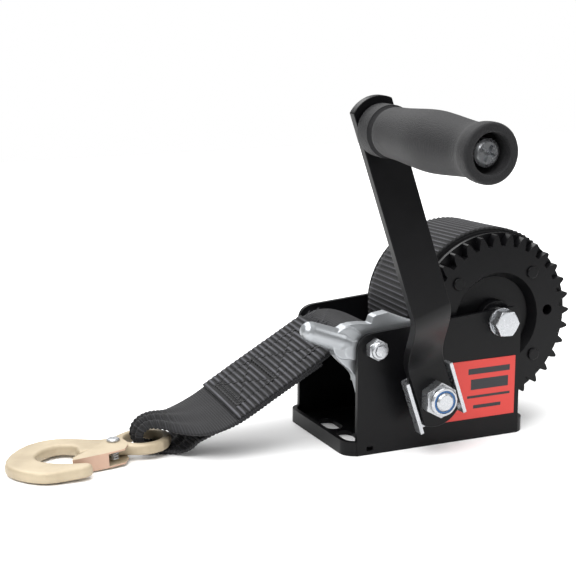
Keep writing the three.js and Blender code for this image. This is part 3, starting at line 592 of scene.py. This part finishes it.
def sewn_lift(s, across):
    """The sewn layer's height over the main one: coarse ribs, drawn down along the seams."""
    bulge = 0.25 * MM * math.cos(across * math.pi)
    return (CLOTH + ribbed(s, RIB, SEWN_RISE) * (1 - 0.6 * selvedge(across)) + bulge
            - SEAM_SINK * seam_depth(s, across) - 0.3 * MM)


bm = cloth_strip(SEWN_START, SEWN_END, 74, sewn_lift)
patch = new_piece("strap_sewn_layer", bm, coarse, "base")
thicken(patch)

# ---- thread ----------------------------------------------------------------------------------
# Heavy bonded polyester thread, about 1 mm, in lock stitches 3 mm long.

STITCH = 2.8 * MM
THREAD_R = 0.5 * MM
OVER_CLOTH = 0.8 * MM  # the stitches' middles, above the middle of the sewn layer
thread, tree, shader = new_material("bonded_black_thread", Roughness=0.6)
two_tone(tree, shader, speckle(tree, object_place(tree), 1800.0), "050506", "121214")


def stitch(bm, a, b, radius):
    """One plump length of thread from a to b."""
    along = b - a
    turn = along.to_track_quat("Z", "Y").to_matrix().to_4x4()
    scale = Matrix.Diagonal((radius, radius, along.length * 0.6, 1))
    bmesh.ops.create_uvsphere(bm, u_segments=8, v_segments=6, radius=1,
                              matrix=Matrix.Translation((a + b) / 2) @ turn @ scale)


bm = bmesh.new()
for (sa, ca), (sb, cb) in seams:
    a, b = Vector((sa, ca * WIDTH)), Vector((sb, cb * WIDTH))
    count = max(1, round((b - a).length / STITCH))
    for k in range(count):
        ends = []
        for t in ((k + 0.08) / count, (k + 0.92) / count):
            p = a + (b - a) * t
            across = p.y / WIDTH
            ends.append(on_strap(p.x, across, sewn_lift(p.x, across) + OVER_CLOTH))
        stitch(bm, *ends, THREAD_R)
new_piece("strap_stitches", bm, thread, "base")

# Loose yarns stand up along the cut end of the sewn layer.
YARNS = 26
LOOSE_R = 0.28 * MM
loose, tree, shader = new_material("loose_polyester_yarn", Roughness=0.7)
two_tone(tree, shader, speckle(tree, object_place(tree), 2400.0), "161618", "47474b")
bm = bmesh.new()
for k in range(YARNS):
    across = -0.44 + 0.88 * (k + 0.5) / YARNS
    wild = noise.noise(Vector((k * 1.7, 3.1, 0.4)))
    reach = (2.0 + 5.5 * abs(wild) + (4.5 if k % 9 == 5 else 0)) * MM
    start = on_strap(SEWN_START, across, CLOTH)
    aim = Vector((0.8, 0.5 * wild, 0.45 + 0.5 * abs(wild))).normalized()
    bend = Vector((0.1, 0.5 * math.sin(k * 2.3), 0.25 * math.cos(k * 1.3)))
    points = [start + aim * reach * t + bend * reach * t * t for t in (0, 0.25, 0.5, 0.75, 1)]
    for a, b in zip(points, points[1:]):
        stitch(bm, a, b, LOOSE_R)
new_piece("strap_loose_yarns", bm, loose, "base")

# ---- cast pawl -------------------------------------------------------------------------------
# Cast steel rocker with a round handle, tumbled and zinc plated: soft corners, and a
# slightly pebbled, bright grey skin.


def recast(name, source, voxel, rounds, material, body):
    """A copy of a CAD node with its corners flowed together as in a casting or a forging."""
    bm = bmesh.new()
    bm.from_mesh(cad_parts[source].data)
    bmesh.ops.remove_doubles(bm, verts=bm.verts, dist=0.002 * MM)
    piece = new_piece(name, bm, material, body)
    remesh = piece.modifiers.new("skin", "REMESH")
    remesh.mode = "VOXEL"
    remesh.voxel_size = voxel * MM
    remesh.use_smooth_shade = True
    smooth = piece.modifiers.new("flow", "SMOOTH")
    smooth.factor = 0.5
    smooth.iterations = rounds
    made = bpy.data.meshes.new_from_object(piece.evaluated_get(bpy.context.evaluated_depsgraph_get()))
    piece.modifiers.clear()
    piece.data = made
    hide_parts(source)
    return piece


cast, tree, shader = new_material("tumbled_zinc_plate", Metallic=0.9, Base_Color=linear("a6a9ac"))
place = object_place(tree)
uneven_shine(tree, shader, speckle(tree, place, 80.0, 4.0), 0.34, 0.5)
relief(tree, shader, speckle(tree, place, 500.0, 3.0), 0.25, 0.2 * MM)
recast("cast_pawl", "pawl", 0.3, 4, cast, "pawl")

# ---- hook and latch --------------------------------------------------------------------------
# Drop-forged hook with rounded flanks and a pressed sheet latch, both yellow zinc
# plated: a pale straw colour that drifts a little darker and lighter.

yellow, tree, shader = new_material("yellow_zinc_plate", Metallic=0.2)
place = object_place(tree)
straw = node(tree, "ShaderNodeValToRGB", {"Fac": speckle(tree, place, 55.0, 3.0)})
STRAW_TONES = [(0.35, "a2947c"), (0.65, "b3a58c")]
for stop, (position, tone) in zip(straw.color_ramp.elements, STRAW_TONES):
    stop.position = position
    stop.color = linear(tone)
tree.links.new(straw.outputs["Color"], shader.inputs["Base Color"])
grain = speckle(tree, place, 420.0, 3.0)
uneven_shine(tree, shader, grain, 0.42, 0.56)
relief(tree, shader, grain, 0.18, 0.2 * MM)
recast("forged_hook", "hook", 0.4, 6, yellow, "hook")

# The latch's upright web took less passivation and stays a coppery pink.
blush = yellow.copy()
blush.name = "pink_and_yellow_zinc_plate"
tree, shader = blush.node_tree, blush.node_tree.nodes["Principled BSDF"]
facing = node(tree, "ShaderNodeNewGeometry").outputs["Normal"]
upward = node(tree, "ShaderNodeSeparateXYZ", {"Vector": facing}).outputs["Z"]
flat = node(tree, "ShaderNodeMath", {0: upward}, operation="ABSOLUTE")
straw = tree.nodes["Color Ramp"].outputs["Color"]
tint = node(tree, "ShaderNodeMix", {"Factor": flat.outputs["Value"], "B": straw}, data_type="RGBA")
tint.inputs["A"].default_value = linear("b59682")
tree.links.new(tint.outputs["Result"], shader.inputs["Base Color"])
dress("hook_latch", blush, edge=0.15)
